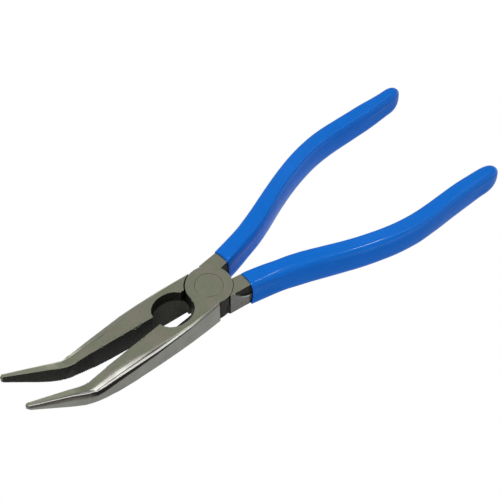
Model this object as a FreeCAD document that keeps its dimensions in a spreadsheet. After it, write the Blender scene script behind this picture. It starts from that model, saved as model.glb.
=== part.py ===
import FreeCAD, Part
import Sketcher
import os
import math

# Bent-nose pliers with dipped grips. Millimetres, +Z up.
# Origin: on the pivot axis, at the underside of the lap joint. +X runs along the
# bisector of the half-open jaws towards the nose, +Z along the rivet towards the
# side that the nose is bent to. Each half is drawn closed, with its gripping face
# on the XZ plane, and its Placement opens it by open_half about the rivet.

doc = FreeCAD.newDocument("pliers")
sheet = doc.addObject("Spreadsheet::Sheet", "Dims")
sheet.Label = "Dims"

VALUES = {}
_row = [0]


def cell(alias, value, note=""):
    """One driving dimension: a plain number with an alias."""
    _row[0] += 1
    row = _row[0]
    sheet.set("A%d" % row, alias)
    sheet.set("B%d" % row, repr(value))
    sheet.setAlias("B%d" % row, alias)
    if note:
        sheet.set("C%d" % row, note)
    VALUES[alias] = float(value)


# ---- joint -------------------------------------------------------------------
cell("open_half", 4.45, "degrees each half is open at rest")
cell("thick", 10.8, "thickness of the joint")
cell("lap_mid", 5.4, "height of the plane where the two leaves meet")
cell("lap_play", 0.02, "half of the running gap between the leaves")
cell("leaf_radius_upper", 8.6)
cell("leaf_radius_lower", 8.3)
cell("leaf_chamfer", 0.45, "underside edge of the lower leaf")
cell("seat_radius_upper", 8.86, "hollow that the upper leaf turns in")
cell("seat_radius_lower", 8.56, "hollow that the lower leaf turns in")
cell("seat_shift", 0.13, "hollow is set forward, so its gap is wider at the jaw")
cell("face_gap", 0.05, "gripping face to closing plane")
# ---- rivet -------------------------------------------------------------------
cell("rivet_radius", 3.0)
cell("rivet_head_radius", 5.1)
cell("rivet_head_depth", 2.3)
cell("rivet_head_land", 0.7)
cell("rivet_play", 0.04, "radial running clearance in the upper leaf")
# ---- neck --------------------------------------------------------------------
cell("neck_front_x", -3.3)
cell("neck_front_y", 8.45)
cell("neck_back_x", -12.9)
cell("neck_outer_y", 8.75)
cell("neck_inner_y", 2.75)
cell("neck_crook_x", -8.1)
cell("neck_crook_y", 2.35)
# ---- oval pipe grip and cutter -----------------------------------------------
cell("oval_x", 16.35, "centre of the oval")
cell("oval_a", 7.45, "half length")
cell("oval_b", 5.85, "half width")
cell("oval_floor", 5.85, "height where the wall ends and the bevel begins")
cell("edge_height", 1.8, "height of the cutting edge")
cell("edge_under", 1.5, "width of the bevel under the cutting edge")
cell("edge_land", 0.05)
cell("horn_x", 10.35)
cell("horn_y", 3.3)
# ---- serrations --------------------------------------------------------------
cell("tooth_pitch", 0.76)
cell("tooth_depth", 0.30)
cell("tooth_half", 0.34)
cell("tooth_first_x", 49.6)
cell("tooth_span_x", 7.6)
cell("tooth_count_x", 11)
cell("bend_x", 58.2)
cell("bend_z", 8.2)
cell("bend_angle", 36.0)
cell("tooth_first_u", 0.6)
cell("tooth_span_u", 30.4)
cell("tooth_count_u", 41)

# ---- jaw stations ------------------------------------------------------------
# x, top z, bottom z, y where the top starts to round off, ridge y, ridge drop,
# lower ridge y, lower ridge drop, outer y at the bottom, bottom chamfer
JAW = [
    (2.9, 10.80, 0.00, 8.20, 8.55, 0.35, 8.75, 0.75, 8.85, 0.60),
    (9.0, 10.80, 0.00, 8.15, 8.64, 0.42, 8.82, 0.85, 8.84, 0.70),
    (16.0, 10.80, 0.05, 7.90, 8.64, 0.50, 8.78, 1.00, 8.68, 0.80),
    (24.0, 10.80, 0.10, 7.10, 8.28, 0.52, 8.43, 1.15, 8.22, 0.85),
    (33.0, 10.80, 0.32, 5.50, 7.65, 0.65, 7.86, 1.60, 7.58, 0.90),
    (42.0, 10.80, 0.60, 3.85, 6.58, 1.00, 6.86, 2.30, 6.78, 0.90),
    (49.0, 10.70, 1.35, 3.45, 5.70, 1.15, 6.08, 2.70, 6.15, 0.80),
    (54.5, 10.32, 2.40, 3.30, 5.02, 1.15, 5.46, 2.80, 5.55, 0.75),
    (57.6, 10.25, 3.12, 3.25, 4.50, 1.00, 5.00, 2.80, 5.10, 0.70),
    (59.8, 10.86, 3.88, 3.15, 4.12, 0.80, 4.65, 2.90, 4.72, 0.65),
    (62.6, 12.42, 5.05, 3.05, 3.72, 0.60, 4.18, 3.00, 4.10, 0.62),
    (66.5, 15.08, 7.66, 2.70, 3.18, 0.50, 3.58, 3.10, 3.38, 0.60),
    (71.0, 17.88, 11.36, 2.35, 2.76, 0.45, 3.08, 2.90, 2.80, 0.55),
    (76.0, 21.00, 15.80, 1.98, 2.35, 0.40, 2.60, 2.35, 2.35, 0.50),
    (80.5, 23.80, 19.75, 1.62, 1.96, 0.38, 2.15, 1.80, 1.92, 0.45),
    (83.3, 25.58, 22.15, 1.38, 1.68, 0.35, 1.84, 1.40, 1.62, 0.40),
]
JAW_WORDS = ["at", "top", "base", "flat", "ridge", "drop", "belt", "belt_drop", "side", "foot"]
for n, row in enumerate(JAW):
    for word, value in zip(JAW_WORDS, row):
        cell("jaw%02d_%s" % (n, word), value)
cell("nose_at", 84.35)
cell("nose_shrink", 0.60)

# ---- handle stations ---------------------------------------------------------
# x, centre y, core width, core height, grip width, grip height
HANDLE = [
    (-12.2, 5.80, 5.95, 10.80, 8.50, 12.50),
    (-22.0, 7.36, 5.90, 10.80, 8.54, 12.58),
    (-34.0, 10.24, 5.80, 10.80, 8.52, 12.66),
    (-46.0, 14.10, 5.70, 10.70, 8.40, 12.68),
    (-58.0, 17.54, 5.40, 10.60, 8.16, 12.64),
    (-68.0, 19.49, 5.20, 10.50, 7.92, 12.56),
    (-78.0, 20.13, 5.00, 10.30, 7.62, 12.40),
    (-90.0, 19.22, 4.80, 10.00, 7.22, 12.12),
    (-102.0, 18.00, 4.70, 9.70, 6.86, 11.82),
    (-111.0, 17.48, 4.55, 9.30, 6.60, 11.46),
]
for n, row in enumerate(HANDLE):
    for word, value in zip(["at", "mid", "core_w", "core_t", "grip_w", "grip_t"], row):
        cell("rod%02d_%s" % (n, word), value)
cell("core_round", 1.6, "corner radius of the core")
cell("grip_round", 3.1, "corner radius of the grip")
cell("grip_start", -12.3)
cell("lower_reach", 1.2, "the lower half's sleeve is dipped this much longer")
# rounded end of the grip: x, centre y, width, height, corner radius
TIP = [
    (-114.4, 17.40, 6.40, 11.00, 2.95),
    (-116.6, 17.36, 5.40, 9.40, 2.45),
    (-117.9, 17.34, 3.90, 7.00, 1.75),
    (-118.4, 17.34, 2.30, 4.50, 1.05),
]
for n, row in enumerate(TIP):
    for word, value in zip(["at", "mid", "w", "t", "r"], row):
        cell("end%02d_%s" % (n, word), value)
doc.recompute()


# ---- expressions -------------------------------------------------------------
# A size is a list of (factor, alias) pairs, with alias None for a plain number.
def number(terms):
    return sum(k * (VALUES[a] if a else 1.0) for k, a in terms)


def words(terms):
    return " + ".join("(%r * Dims.%s)" % (k, a) if a else "(%r)" % k for k, a in terms)


def v(alias, k=1.0):
    return [(k, alias)]


def flip(terms, sign):
    return [(k * sign, a) for k, a in terms]


def plane(body, role):
    for feature in body.Origin.OriginFeatures:
        if feature.Role == role:
            return feature
    raise RuntimeError("no plane " + role)


def new_sketch(body, name, role, offset=None, turn=None):
    """A sketch on one of the body's own origin planes, offset along its normal."""
    sk = body.newObject("Sketcher::SketchObject", name)
    sk.AttachmentSupport = [(plane(body, role), "")]
    sk.MapMode = "FlatFace"
    if turn is not None:
        sk.AttachmentOffset = turn
    if offset is not None:
        sk.setExpression("AttachmentOffset.Base.z", words(offset))
    return sk


def pin_point(sk, geo, pos, x, y):
    i = sk.addConstraint(Sketcher.Constraint("DistanceX", -1, 1, geo, pos, number(x)))
    sk.setExpression("Constraints[%d]" % i, words(x))
    i = sk.addConstraint(Sketcher.Constraint("DistanceY", -1, 1, geo, pos, number(y)))
    sk.setExpression("Constraints[%d]" % i, words(y))


def polygon(sk, points):
    """A closed polygon, each corner held by two driven dimensions."""
    xy = [FreeCAD.Vector(number(x), number(y), 0) for x, y in points]
    ids = []
    for i in range(len(xy)):
        ids.append(sk.addGeometry(Part.LineSegment(xy[i], xy[(i + 1) % len(xy)]), False))
    for i in range(len(ids)):
        sk.addConstraint(Sketcher.Constraint("Coincident", ids[i], 2, ids[(i + 1) % len(ids)], 1))
    for i, (x, y) in zip(ids, points):
        pin_point(sk, i, 1, x, y)
    return ids


def round_box(sk, cx, cy, w, t, r):
    """A rounded rectangle: centre, full width, full height and corner radius."""
    half_w, half_t = flip(w, 0.5), flip(t, 0.5)
    centres = []
    for sx, sy in ((1, 1), (-1, 1), (-1, -1), (1, -1)):
        x = cx + flip(half_w, sx) + flip(r, -sx)
        y = cy + flip(half_t, sy) + flip(r, -sy)
        centres.append((x, y))
    rad = number(r)
    arcs = []
    for k, (x, y) in enumerate(centres):
        circle = Part.Circle(FreeCAD.Vector(number(x), number(y), 0), FreeCAD.Vector(0, 0, 1), rad)
        arcs.append(sk.addGeometry(Part.ArcOfCircle(circle, k * math.pi / 2, (k + 1) * math.pi / 2), False))
    lines = []
    for k in range(4):
        a = sk.Geometry[arcs[k]].EndPoint
        b = sk.Geometry[arcs[(k + 1) % 4]].StartPoint
        lines.append(sk.addGeometry(Part.LineSegment(a, b), False))
    for k in range(4):
        sk.addConstraint(Sketcher.Constraint("Coincident", arcs[k], 2, lines[k], 1))
        sk.addConstraint(Sketcher.Constraint("Coincident", lines[k], 2, arcs[(k + 1) % 4], 1))
    for k in range(4):
        pin_point(sk, arcs[k], 3, *centres[k])
        first, last = ("Horizontal", "Vertical") if k % 2 == 0 else ("Vertical", "Horizontal")
        sk.addConstraint(Sketcher.Constraint(first, arcs[k], 3, arcs[k], 1))
        sk.addConstraint(Sketcher.Constraint(last, arcs[k], 3, arcs[k], 2))
        i = sk.addConstraint(Sketcher.Constraint("Radius", arcs[k], rad))
        sk.setExpression("Constraints[%d]" % i, words(r))


def half_oval(sk, sign, b, lip):
    """Half an ellipse over the oval's length, closed by a line behind the closing plane."""
    cx, a, bb = number(v("oval_x")), number(v("oval_a")), number(b)
    steps = 10
    pts = []
    for k in range(steps + 1):
        ang = math.pi * k / steps
        ex, ey = math.cos(ang), math.sin(ang)
        pts.append(([(1.0, "oval_x"), (round(ex, 6), "oval_a")], flip([(round(q * ey, 6), al) for q, al in b] + [(1.0, "face_gap")], sign)))
    pts.append(([(1.0, "oval_x"), (-1.0, "oval_a")], flip(lip, -sign)))
    pts.append(([(1.0, "oval_x"), (1.0, "oval_a")], flip(lip, -sign)))
    return polygon(sk, pts)


def must_change(body, before, grow, what):
    now = body.Shape.Volume
    ok = now > before + 1e-3 if grow else now < before - 1e-3
    if not ok:
        raise RuntimeError("%s did not change the solid: %.3f to %.3f" % (what, before, now))
    return now


def jaw_section(sk, n, sign):
    p = "jaw%02d_" % n
    top, base = v(p + "top"), v(p + "base")
    pts = [
        (v("face_gap"), top),
        (v(p + "flat"), top),
        (v(p + "ridge"), top + v(p + "drop", -1.0)),
        (v(p + "belt"), top + v(p + "belt_drop", -1.0)),
        (v(p + "side"), base + v(p + "foot")),
        (v(p + "side") + v(p + "foot", -1.0), base),
        (v("face_gap"), base),
    ]
    polygon(sk, [(flip(y, sign), z) for y, z in pts])


def nose_section(sk, sign):
    """The small blunt end of the nose, drawn in from the last station."""
    p = "jaw%02d_" % (len(JAW) - 1)
    k = VALUES["nose_shrink"]
    mid = [(0.5, p + "top"), (0.5, p + "base")]

    def pull(terms):
        # towards the middle of the section by nose_shrink
        return [(q * k, a) for q, a in terms] + [(q * (1.0 - k), a) for q, a in mid]

    rise = [(0.50, None)]
    top, base = v(p + "top"), v(p + "base")
    pts = [
        (v("face_gap"), pull(top) + rise),
        (v(p + "flat", k), pull(top) + rise),
        (v(p + "ridge", k), pull(top + v(p + "drop", -1.0)) + rise),
        (v(p + "belt", k), pull(top + v(p + "belt_drop", -1.0)) + rise),
        (v(p + "side", k), pull(base + v(p + "foot")) + rise),
        (v(p + "side", k) + v(p + "foot", -k), pull(base) + rise),
        (v("face_gap"), pull(base) + rise),
    ]
    polygon(sk, [(flip(y, sign), z) for y, z in pts])


def make_half(label, sign, upper):
    """One forging. sign is the side its jaw lies on; upper is True for the upper leaf."""
    body = doc.addObject("PartDesign::Body", label)
    body.Label = label
    own_r = "leaf_radius_upper" if upper else "leaf_radius_lower"
    seat_r = "seat_radius_lower" if upper else "seat_radius_upper"

    # jaw, lofted through its stations
    sections = []
    for n in range(len(JAW)):
        sk = new_sketch(body, label + "_jaw%02d" % n, "YZ_Plane", v("jaw%02d_at" % n))
        jaw_section(sk, n, sign)
        sections.append(sk)
    sk = new_sketch(body, label + "_nose", "YZ_Plane", v("nose_at"))
    nose_section(sk, sign)
    sections.append(sk)
    doc.recompute()
    loft = body.newObject("PartDesign::AdditiveLoft", label + "_jaw")
    loft.Profile = sections[0]
    loft.Sections = sections[1:]
    loft.Ruled = True
    doc.recompute()
    volume = must_change(body, 0.0, True, label + " jaw")

    # leaf of the lap joint
    sk = new_sketch(body, label + "_leaf_profile", "XZ_Plane")
    if upper:
        low, high = [(1.0, "lap_mid"), (1.0, "lap_play")], v("thick")
        polygon(sk, [([(0.0, None)], low), (v(own_r), low), (v(own_r), high), ([(0.0, None)], high)])
    else:
        high = [(1.0, "lap_mid"), (-1.0, "lap_play")]
        zero = [(0.0, None)]
        polygon(sk, [(zero, zero), ([(1.0, own_r), (-1.0, "leaf_chamfer")], zero), (v(own_r), v("leaf_chamfer")), (v(own_r), high), (zero, high)])
    doc.recompute()
    leaf = body.newObject("PartDesign::Revolution", label + "_leaf")
    leaf.Profile = sk
    leaf.ReferenceAxis = (sk, ["V_Axis"])
    leaf.Angle = 360.0
    doc.recompute()
    volume = must_change(body, volume, True, label + " leaf")

    # neck, full thickness
    sk = new_sketch(body, label + "_neck_outline", "XY_Plane")
    s = -sign
    pts = [
        ([(0.62, "neck_front_x")], [(0.80, "neck_front_y")]),
        (v("neck_front_x"), v("neck_front_y")),
        (v("neck_back_x"), v("neck_outer_y")),
        (v("neck_back_x"), v("neck_inner_y")),
        (v("neck_crook_x"), v("neck_crook_y")),
        ([(0.7, "neck_crook_x")], v("neck_crook_y")),
    ]
    polygon(sk, [(x, flip(y, s)) for x, y in pts])
    doc.recompute()
    neck = body.newObject("PartDesign::Pad", label + "_neck")
    neck.Profile = sk
    neck.setExpression("Length", "Dims.thick")
    doc.recompute()
    volume = must_change(body, volume, True, label + " neck")

    # handle core, lofted through the handle stations
    sections = []
    for n in range(len(HANDLE)):
        p = "rod%02d_" % n
        sk = new_sketch(body, label + "_core%02d" % n, "YZ_Plane", v(p + "at"))
        round_box(sk, flip(v(p + "mid"), s), v("lap_mid"), v(p + "core_w"), v(p + "core_t"), v("core_round"))
        sections.append(sk)
    doc.recompute()
    core = body.newObject("PartDesign::AdditiveLoft", label + "_core")
    core.Profile = sections[0]
    core.Sections = sections[1:]
    core.Ruled = False
    doc.recompute()
    volume = must_change(body, volume, True, label + " core")

    # hollow for the other half's leaf
    if upper:
        sk = new_sketch(body, label + "_seat_circle", "XY_Plane", [(-1.0, None)])
    else:
        sk = new_sketch(body, label + "_seat_circle", "XY_Plane", [(1.0, "thick"), (1.0, None)])
    i = sk.addGeometry(Part.Circle(FreeCAD.Vector(VALUES["seat_shift"], 0, 0), FreeCAD.Vector(0, 0, 1), VALUES[seat_r]), False)
    pin_point(sk, i, 3, v("seat_shift"), [(0.0, None)])
    j = sk.addConstraint(Sketcher.Constraint("Radius", i, VALUES[seat_r]))
    sk.setExpression("Constraints[%d]" % j, "Dims." + seat_r)
    doc.recompute()
    seat = body.newObject("PartDesign::Pocket", label + "_seat")
    seat.Profile = sk
    seat.Reversed = bool(upper)
    if upper:
        seat.setExpression("Length", "1 + Dims.lap_mid + Dims.lap_play")
    else:
        seat.setExpression("Length", "1 + Dims.thick - Dims.lap_mid + Dims.lap_play")
    doc.recompute()
    volume = must_change(body, volume, False, label + " seat")

    # hole for the rivet, with its sunk head
    sk = new_sketch(body, label + "_hole_profile", "XZ_Plane")
    play = "rivet_play"
    zero = [(0.0, None)]
    if upper:
        shank = [(1.0, "rivet_radius"), (1.0, play)]
        head = [(1.0, "rivet_head_radius"), (1.0, play)]
        polygon(sk, [
            (zero, [(1.0, "lap_mid"), (-1.0, None)]),
            (shank, [(1.0, "lap_mid"), (-1.0, None)]),
            (shank, [(1.0, "thick"), (-1.0, "rivet_head_depth"), (-1.0, play)]),
            (head, [(1.0, "thick"), (-1.0, "rivet_head_land"), (-1.0, play)]),
            (head, [(1.0, "thick"), (1.0, None)]),
            (zero, [(1.0, "thick"), (1.0, None)]),
        ])
    else:
        polygon(sk, [
            (zero, [(-1.0, None)]),
            (v("rivet_head_radius"), [(-1.0, None)]),
            (v("rivet_head_radius"), v("rivet_head_land")),
            (v("rivet_radius"), v("rivet_head_depth")),
            (v("rivet_radius"), [(1.0, "lap_mid"), (1.0, None)]),
            (zero, [(1.0, "lap_mid"), (1.0, None)]),
        ])
    doc.recompute()
    hole = body.newObject("PartDesign::Groove", label + "_hole")
    hole.Profile = sk
    hole.ReferenceAxis = (sk, ["V_Axis"])
    hole.Angle = 360.0
    doc.recompute()
    volume = must_change(body, volume, False, label + " hole")

    # oval pipe grip: straight wall
    sk = new_sketch(body, label + "_oval_outline", "XY_Plane", [(1.0, "thick"), (1.0, None)])
    half_oval(sk, sign, v("oval_b"), [(1.0, None)])
    doc.recompute()
    oval = body.newObject("PartDesign::Pocket", label + "_oval")
    oval.Profile = sk
    oval.setExpression("Length", "1 + Dims.thick - Dims.oval_floor")
    doc.recompute()
    volume = must_change(body, volume, False, label + " oval")

    # bevel from the oval's wall down to the cutting edge
    a = new_sketch(body, label + "_bevel_top", "XY_Plane", v("oval_floor"))
    half_oval(a, sign, v("oval_b"), [(1.0, None)])
    b = new_sketch(body, label + "_bevel_edge", "XY_Plane", v("edge_height"))
    half_oval(b, sign, v("edge_land"), [(1.0, None)])
    doc.recompute()
    bevel = body.newObject("PartDesign::SubtractiveLoft", label + "_bevel")
    bevel.Profile = a
    bevel.Sections = [b]
    bevel.Ruled = True
    doc.recompute()
    volume = must_change(body, volume, False, label + " bevel")

    # bevel under the cutting edge
    sk = new_sketch(body, label + "_under_profile", "YZ_Plane", [(1.0, "oval_x"), (-1.0, "oval_a")])
    polygon(sk, [
        (flip([(1.0, "face_gap"), (1.0, "edge_under")], sign), zero),
        (flip([(1.0, "face_gap"), (1.0, "edge_land")], sign), v("edge_height")),
        (flip([(-1.0, None)], sign), v("edge_height")),
        (flip([(-1.0, None)], sign), [(-1.0, None)]),
        (flip([(1.0, "face_gap"), (1.0, "edge_under")], sign), [(-1.0, None)]),
    ])
    doc.recompute()
    under = body.newObject("PartDesign::Pocket", label + "_under")
    under.Profile = sk
    under.Reversed = True
    under.setExpression("Length", "1.92 * Dims.oval_a")
    doc.recompute()
    volume = must_change(body, volume, False, label + " under bevel")

    # relief between the joint and the oval
    if not upper:
        sk = new_sketch(body, label + "_horn_outline", "XY_Plane", [(1.0, "thick"), (1.0, None)])
        polygon(sk, [
            ([(0.6, "horn_x")], flip([(-1.0, None)], sign)),
            (v("horn_x"), flip([(-1.0, None)], sign)),
            (v("horn_x"), flip([(0.87, "horn_y")], sign)),
            ([(0.93, "horn_x")], flip(v("horn_y"), sign)),
            ([(0.6, "horn_x")], flip(v("horn_y"), sign)),
        ])
        doc.recompute()
        horn = body.newObject("PartDesign::Pocket", label + "_horn")
        horn.Profile = sk
        horn.setExpression("Length", "1 + Dims.thick - Dims.oval_floor")
        doc.recompute()
        volume = must_change(body, volume, False, label + " horn relief")

    # serrations: one groove each for the straight and the bent part, repeated
    def groove(name, turn, offset, first):
        gk = new_sketch(body, label + "_" + name + "_profile", "XY_Plane", None, turn)
        polygon(gk, [
            ([(1.0, first), (-1.0, "tooth_half")], flip(v("face_gap"), sign)),
            (v(first), flip([(1.0, "face_gap"), (1.0, "tooth_depth")], sign)),
            ([(1.0, first), (1.0, "tooth_half")], flip(v("face_gap"), sign)),
            ([(1.0, first), (1.0, "tooth_half")], flip([(-0.4, None)], sign)),
            ([(1.0, first), (-1.0, "tooth_half")], flip([(-0.4, None)], sign)),
        ])
        doc.recompute()
        cut = body.newObject("PartDesign::Pocket", label + "_" + name)
        cut.Profile = gk
        cut.Type = "ThroughAll"
        cut.Midplane = True
        doc.recompute()
        return gk, cut

    for name, first, span, count, turn in (
        ("teeth", "tooth_first_x", "tooth_span_x", "tooth_count_x", None),
        ("nose_teeth", "tooth_first_u", "tooth_span_u", "tooth_count_u",
         FreeCAD.Placement(FreeCAD.Vector(VALUES["bend_x"], 0, VALUES["bend_z"]), FreeCAD.Rotation(FreeCAD.Vector(0, 1, 0), -VALUES["bend_angle"]))),
    ):
        gk, cut = groove(name, turn, None, first)
        if turn is not None:
            gk.setExpression("AttachmentOffset.Base.x", "Dims.bend_x")
            gk.setExpression("AttachmentOffset.Base.z", "Dims.bend_z")
        volume = must_change(body, volume, False, label + " " + name)
        rows = body.newObject("PartDesign::LinearPattern", label + "_" + name + "_row")
        rows.Originals = [cut]
        rows.Direction = (gk, ["H_Axis"])
        rows.setExpression("Length", "Dims." + span)
        rows.setExpression("Occurrences", "Dims." + count)
        body.Tip = rows
        doc.recompute()
        volume = must_change(body, volume, False, label + " " + name + " row")

    body.Placement = FreeCAD.Placement(FreeCAD.Vector(0, 0, 0), FreeCAD.Rotation(FreeCAD.Vector(0, 0, 1), sign * VALUES["open_half"]))
    body.setExpression("Placement.Rotation.Angle", "%d * Dims.open_half" % sign)
    doc.recompute()
    return body


def make_grip(label, sign):
    """One dipped sleeve, closed at the handle's end. sign is its half's jaw side."""
    body = doc.addObject("PartDesign::Body", label)
    body.Label = label
    s = -sign
    sections = []
    for n in range(len(HANDLE)):
        p = "rod%02d_" % n
        at = v("grip_start") if n == 0 else v(p + "at")
        sk = new_sketch(body, label + "_skin%02d" % n, "YZ_Plane", at)
        round_box(sk, flip(v(p + "mid"), s), v("lap_mid"), v(p + "grip_w"), v(p + "grip_t"), v("grip_round"))
        sections.append(sk)
    doc.recompute()
    skin = body.newObject("PartDesign::AdditiveLoft", label + "_skin")
    skin.Profile = sections[0]
    skin.Sections = sections[1:]
    skin.Ruled = False
    doc.recompute()
    volume = must_change(body, 0.0, True, label + " skin")

    # rounded end
    ends = []
    p = "rod%02d_" % (len(HANDLE) - 1)
    sk = new_sketch(body, label + "_cap00", "YZ_Plane", v(p + "at"))
    round_box(sk, flip(v(p + "mid"), s), v("lap_mid"), v(p + "grip_w"), v(p + "grip_t"), v("grip_round"))
    ends.append(sk)
    for n in range(len(TIP)):
        p = "end%02d_" % n
        at = v(p + "at") + (v("lower_reach", -1.0) if sign < 0 else [])
        sk = new_sketch(body, label + "_cap%02d" % (n + 1), "YZ_Plane", at)
        round_box(sk, flip(v(p + "mid"), s), v("lap_mid"), v(p + "w"), v(p + "t"), v(p + "r"))
        ends.append(sk)
    doc.recompute()
    cap = body.newObject("PartDesign::AdditiveLoft", label + "_cap")
    cap.Profile = ends[0]
    cap.Sections = ends[1:]
    cap.Ruled = False
    doc.recompute()
    volume = must_change(body, volume, True, label + " cap")

    # cavity that the steel core fills
    mouth = new_sketch(body, label + "_mouth_outline", "YZ_Plane", [(1.0, "grip_start"), (1.0, None)])
    p = "rod00_"
    polygon(mouth, [
        (flip(v("neck_inner_y"), s), zero_list()),
        (flip(v("neck_outer_y"), s), zero_list()),
        (flip(v("neck_outer_y"), s), v("thick")),
        (flip(v("neck_inner_y"), s), v("thick")),
    ])
    doc.recompute()
    cut = body.newObject("PartDesign::Pocket", label + "_mouth")
    cut.Profile = mouth
    cut.Reversed = False
    cut.setExpression("Length", "1 + Dims.grip_start - Dims.neck_back_x")
    doc.recompute()
    volume = must_change(body, volume, False, label + " mouth")
    sections = []
    for n in range(len(HANDLE)):
        p = "rod%02d_" % n
        sk = new_sketch(body, label + "_bore%02d" % n, "YZ_Plane", v(p + "at"))
        round_box(sk, flip(v(p + "mid"), s), v("lap_mid"), v(p + "core_w"), v(p + "core_t"), v("core_round"))
        sections.append(sk)
    doc.recompute()
    bore = body.newObject("PartDesign::SubtractiveLoft", label + "_bore")
    bore.Profile = sections[0]
    bore.Sections = sections[1:]
    bore.Ruled = False
    doc.recompute()
    volume = must_change(body, volume, False, label + " bore")

    body.Placement = FreeCAD.Placement(FreeCAD.Vector(0, 0, 0), FreeCAD.Rotation(FreeCAD.Vector(0, 0, 1), sign * VALUES["open_half"]))
    body.setExpression("Placement.Rotation.Angle", "%d * Dims.open_half" % sign)
    doc.recompute()
    return body


def zero_list():
    return [(0.0, None)]


def make_rivet(label):
    """Headed both ends and ground flush; fixed in the lower leaf, running in the upper."""
    body = doc.addObject("PartDesign::Body", label)
    body.Label = label
    sk = new_sketch(body, label + "_profile", "XZ_Plane")
    z = zero_list()
    polygon(sk, [
        (z, z),
        (v("rivet_head_radius"), z),
        (v("rivet_head_radius"), v("rivet_head_land")),
        (v("rivet_radius"), v("rivet_head_depth")),
        (v("rivet_radius"), [(1.0, "thick"), (-1.0, "rivet_head_depth")]),
        (v("rivet_head_radius"), [(1.0, "thick"), (-1.0, "rivet_head_land")]),
        (v("rivet_head_radius"), v("thick")),
        (z, v("thick")),
    ])
    doc.recompute()
    turn = body.newObject("PartDesign::Revolution", label + "_turned")
    turn.Profile = sk
    turn.ReferenceAxis = (sk, ["V_Axis"])
    turn.Angle = 360.0
    doc.recompute()
    must_change(body, 0.0, True, label)
    return body


parts = [
    make_half("upper_half", 1, True),
    make_half("lower_half", -1, False),
    make_rivet("pivot_rivet"),
    make_grip("upper_half_grip", 1),
    make_grip("lower_half_grip", -1),
]

doc.recompute()
bad = [o.Name for o in doc.Objects if "Invalid" in o.State or "Error" in o.State]
if bad:
    raise RuntimeError("failed objects: %s" % bad)
for body in parts:
    shape = body.Shape
    if shape.isNull() or not shape.isValid() or len(shape.Solids) != 1:
        raise RuntimeError("bad shape: %s solids %d" % (body.Label, len(shape.Solids)))

os.makedirs("parts", exist_ok=True)
for body in parts:
    body.Shape.exportStep(os.path.join("parts", body.Label + ".step"))
    box = body.Shape.BoundBox
    print("%-18s volume %9.1f mm3  x %.2f..%.2f  y %.2f..%.2f  z %.2f..%.2f" % (
        body.Label, body.Shape.Volume, box.XMin, box.XMax, box.YMin, box.YMax, box.ZMin, box.ZMax))
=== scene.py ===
import bpy
import bmesh
import math
import numpy as np
from mathutils import Matrix, Vector


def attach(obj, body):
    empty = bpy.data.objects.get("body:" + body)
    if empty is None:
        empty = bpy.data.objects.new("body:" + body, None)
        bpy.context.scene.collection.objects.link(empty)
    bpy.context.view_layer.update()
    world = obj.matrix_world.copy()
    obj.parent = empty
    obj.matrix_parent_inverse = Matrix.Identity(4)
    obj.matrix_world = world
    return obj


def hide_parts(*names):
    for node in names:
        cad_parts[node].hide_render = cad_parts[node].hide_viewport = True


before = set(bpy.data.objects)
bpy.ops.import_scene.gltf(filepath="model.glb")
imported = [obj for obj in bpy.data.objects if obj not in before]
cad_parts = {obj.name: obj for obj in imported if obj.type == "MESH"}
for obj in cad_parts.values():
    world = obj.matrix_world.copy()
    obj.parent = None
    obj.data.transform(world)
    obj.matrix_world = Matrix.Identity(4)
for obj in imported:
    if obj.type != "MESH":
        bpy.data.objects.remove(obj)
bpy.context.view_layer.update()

MM = 0.001
OPEN = math.radians(4.45)
# each half is described in its own frame, in mm: x to the nose, y outwards on the
# jaw's side, z up; SIGN turns it into the shared frame
SIGN = {"upper": 1.0, "lower": -1.0}

# x, top, base, flat, ridge, drop, belt, belt drop, side, foot
JAW = np.array([
    (2.9, 10.80, 0.00, 8.20, 8.55, 0.35, 8.75, 0.75, 8.85, 0.60),
    (9.0, 10.80, 0.00, 8.15, 8.64, 0.42, 8.82, 0.85, 8.84, 0.70),
    (16.0, 10.80, 0.05, 7.90, 8.64, 0.50, 8.78, 1.00, 8.68, 0.80),
    (24.0, 10.80, 0.10, 7.10, 8.28, 0.52, 8.43, 1.15, 8.22, 0.85),
    (33.0, 10.80, 0.32, 5.50, 7.65, 0.65, 7.86, 1.60, 7.58, 0.90),
    (42.0, 10.80, 0.60, 3.85, 6.58, 1.00, 6.86, 2.30, 6.78, 0.90),
    (49.0, 10.70, 1.35, 3.45, 5.70, 1.15, 6.08, 2.70, 6.15, 0.80),
    (54.5, 10.32, 2.40, 3.30, 5.02, 1.15, 5.46, 2.80, 5.55, 0.75),
    (57.6, 10.25, 3.12, 3.25, 4.50, 1.00, 5.00, 2.80, 5.10, 0.70),
    (59.8, 10.86, 3.88, 3.15, 4.12, 0.80, 4.65, 2.90, 4.72, 0.65),
    (62.6, 12.42, 5.05, 3.05, 3.72, 0.60, 4.18, 3.00, 4.10, 0.62),
    (66.5, 15.08, 7.66, 2.70, 3.18, 0.50, 3.58, 3.10, 3.38, 0.60),
    (71.0, 17.88, 11.36, 2.35, 2.76, 0.45, 3.08, 2.90, 2.80, 0.55),
    (76.0, 21.00, 15.80, 1.98, 2.35, 0.40, 2.60, 2.35, 2.35, 0.50),
    (80.5, 23.80, 19.75, 1.62, 1.96, 0.38, 2.15, 1.80, 1.92, 0.45),
    (83.3, 25.58, 22.15, 1.38, 1.68, 0.35, 1.84, 1.40, 1.62, 0.40),
])
# how far below the ridge the unground band reaches
BAND = [(2.9, 0.0), (10, 0.04), (16, 0.22), (24, 0.55), (33, 1.15), (42, 1.65), (49, 1.95), (54.5, 2.1),
        (57.6, 2.1), (62.6, 2.0), (66.5, 1.95), (71, 1.8), (76, 1.5), (80.5, 1.15), (84.5, 0.8)]
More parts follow.
